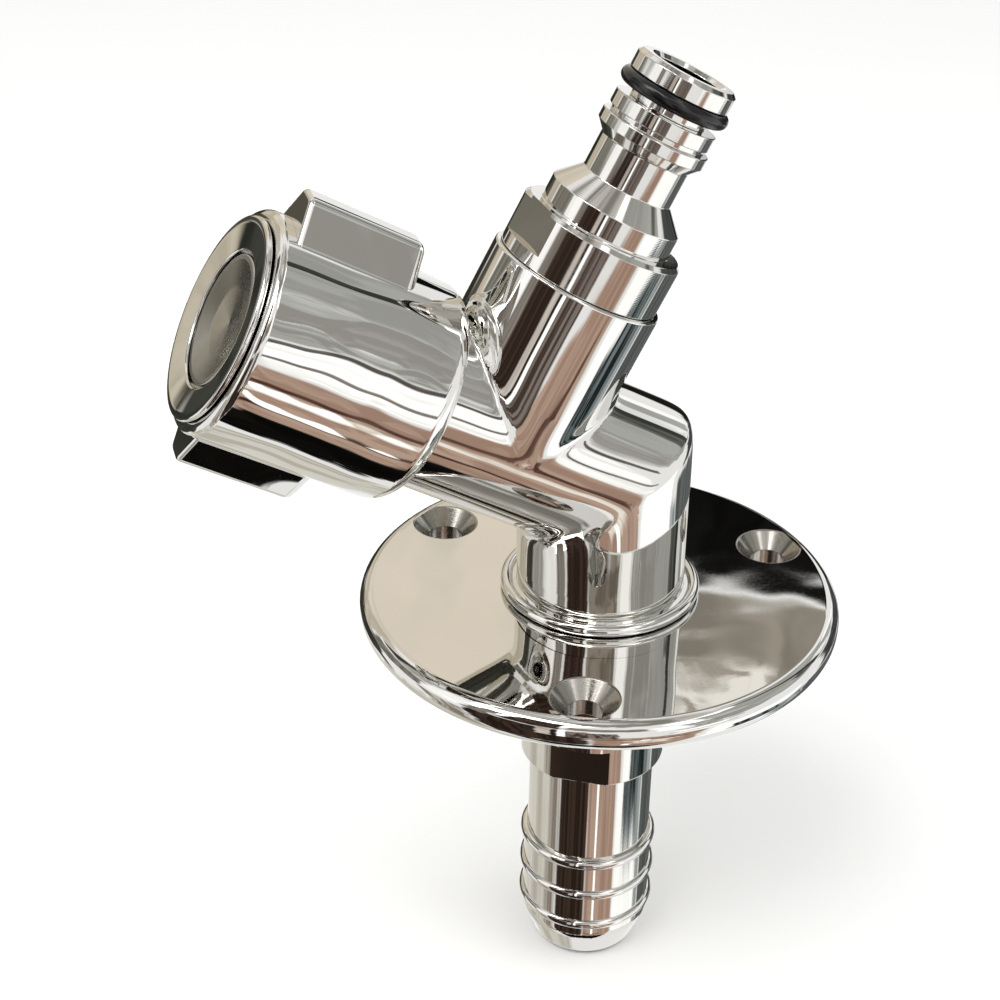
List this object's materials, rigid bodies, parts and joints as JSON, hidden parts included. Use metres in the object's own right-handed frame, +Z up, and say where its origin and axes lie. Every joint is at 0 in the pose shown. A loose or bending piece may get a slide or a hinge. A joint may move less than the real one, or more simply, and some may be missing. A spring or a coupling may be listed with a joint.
{
  "type": "water spigot",
  "caption": "Deck-mounted water spigot: round screw flange, hose tail below, mitred column and arm, turning lugged knob, and a branch with a click-connector nipple.",
  "frame": {"origin": "centre of the screw circle on the flange's underside, where it meets the deck", "axes": "+Z up the column; the arm and knob lean out towards -Y; the branch leans back towards +Y"},
  "size_m": [0.074, 0.1009, 0.1525],
  "materials": {
    "mirror_steel": "mirror-polished stainless steel",
    "turned_steel": "bright turned steel with fine lathe lines",
    "brass": "machined brass",
    "black_rubber": "black nitrile rubber",
    "fibre": "red vulcanised fibre",
    "white_nylon": "natural nylon"
  },
  "bodies": {
    "tap": {"body_casting": "mirror_steel", "flange_plate": "mirror_steel", "flange_seal": "black_rubber", "nut_washer": "turned_steel", "back_nut": "turned_steel", "tail_washer": "fibre", "hose_tail": "turned_steel", "nipple_washer": "fibre", "quick_nipple": "turned_steel", "nipple_tip_seal": "black_rubber", "seat_ring": "turned_steel", "bonnet_seal": "fibre", "bonnet": "brass"},
    "knob": {"spindle": "brass", "thrust_ring": "white_nylon", "spindle_seal_inner": "black_rubber", "spindle_seal_outer": "black_rubber", "spindle_clip": "turned_steel", "knob_shell": "mirror_steel", "knob_front_ring": "mirror_steel", "knob_insert": "turned_steel", "knob_screw_washer": "turned_steel", "knob_screw": "turned_steel"},
    "valve": {"valve_carrier": "brass", "valve_washer": "black_rubber", "washer_nut": "brass"}
  },
  "joints": [
    {"name": "knob_turn", "type": "hinge", "parent": "tap", "child": "knob", "pos_m": [0, -0.04394, 0.04956], "axis": [0, -0.8788, 0.4772], "range_deg": [0, 450]},
    {"name": "valve_lift", "type": "slide", "parent": "tap", "child": "valve", "axis": [0, -0.8788, 0.4772], "range_m": [0, 0.004]}
  ],
  "couplings": [
    {"joint": "valve_lift", "follows": "knob_turn", "m_per_rad": 0.0005093}
  ]
}
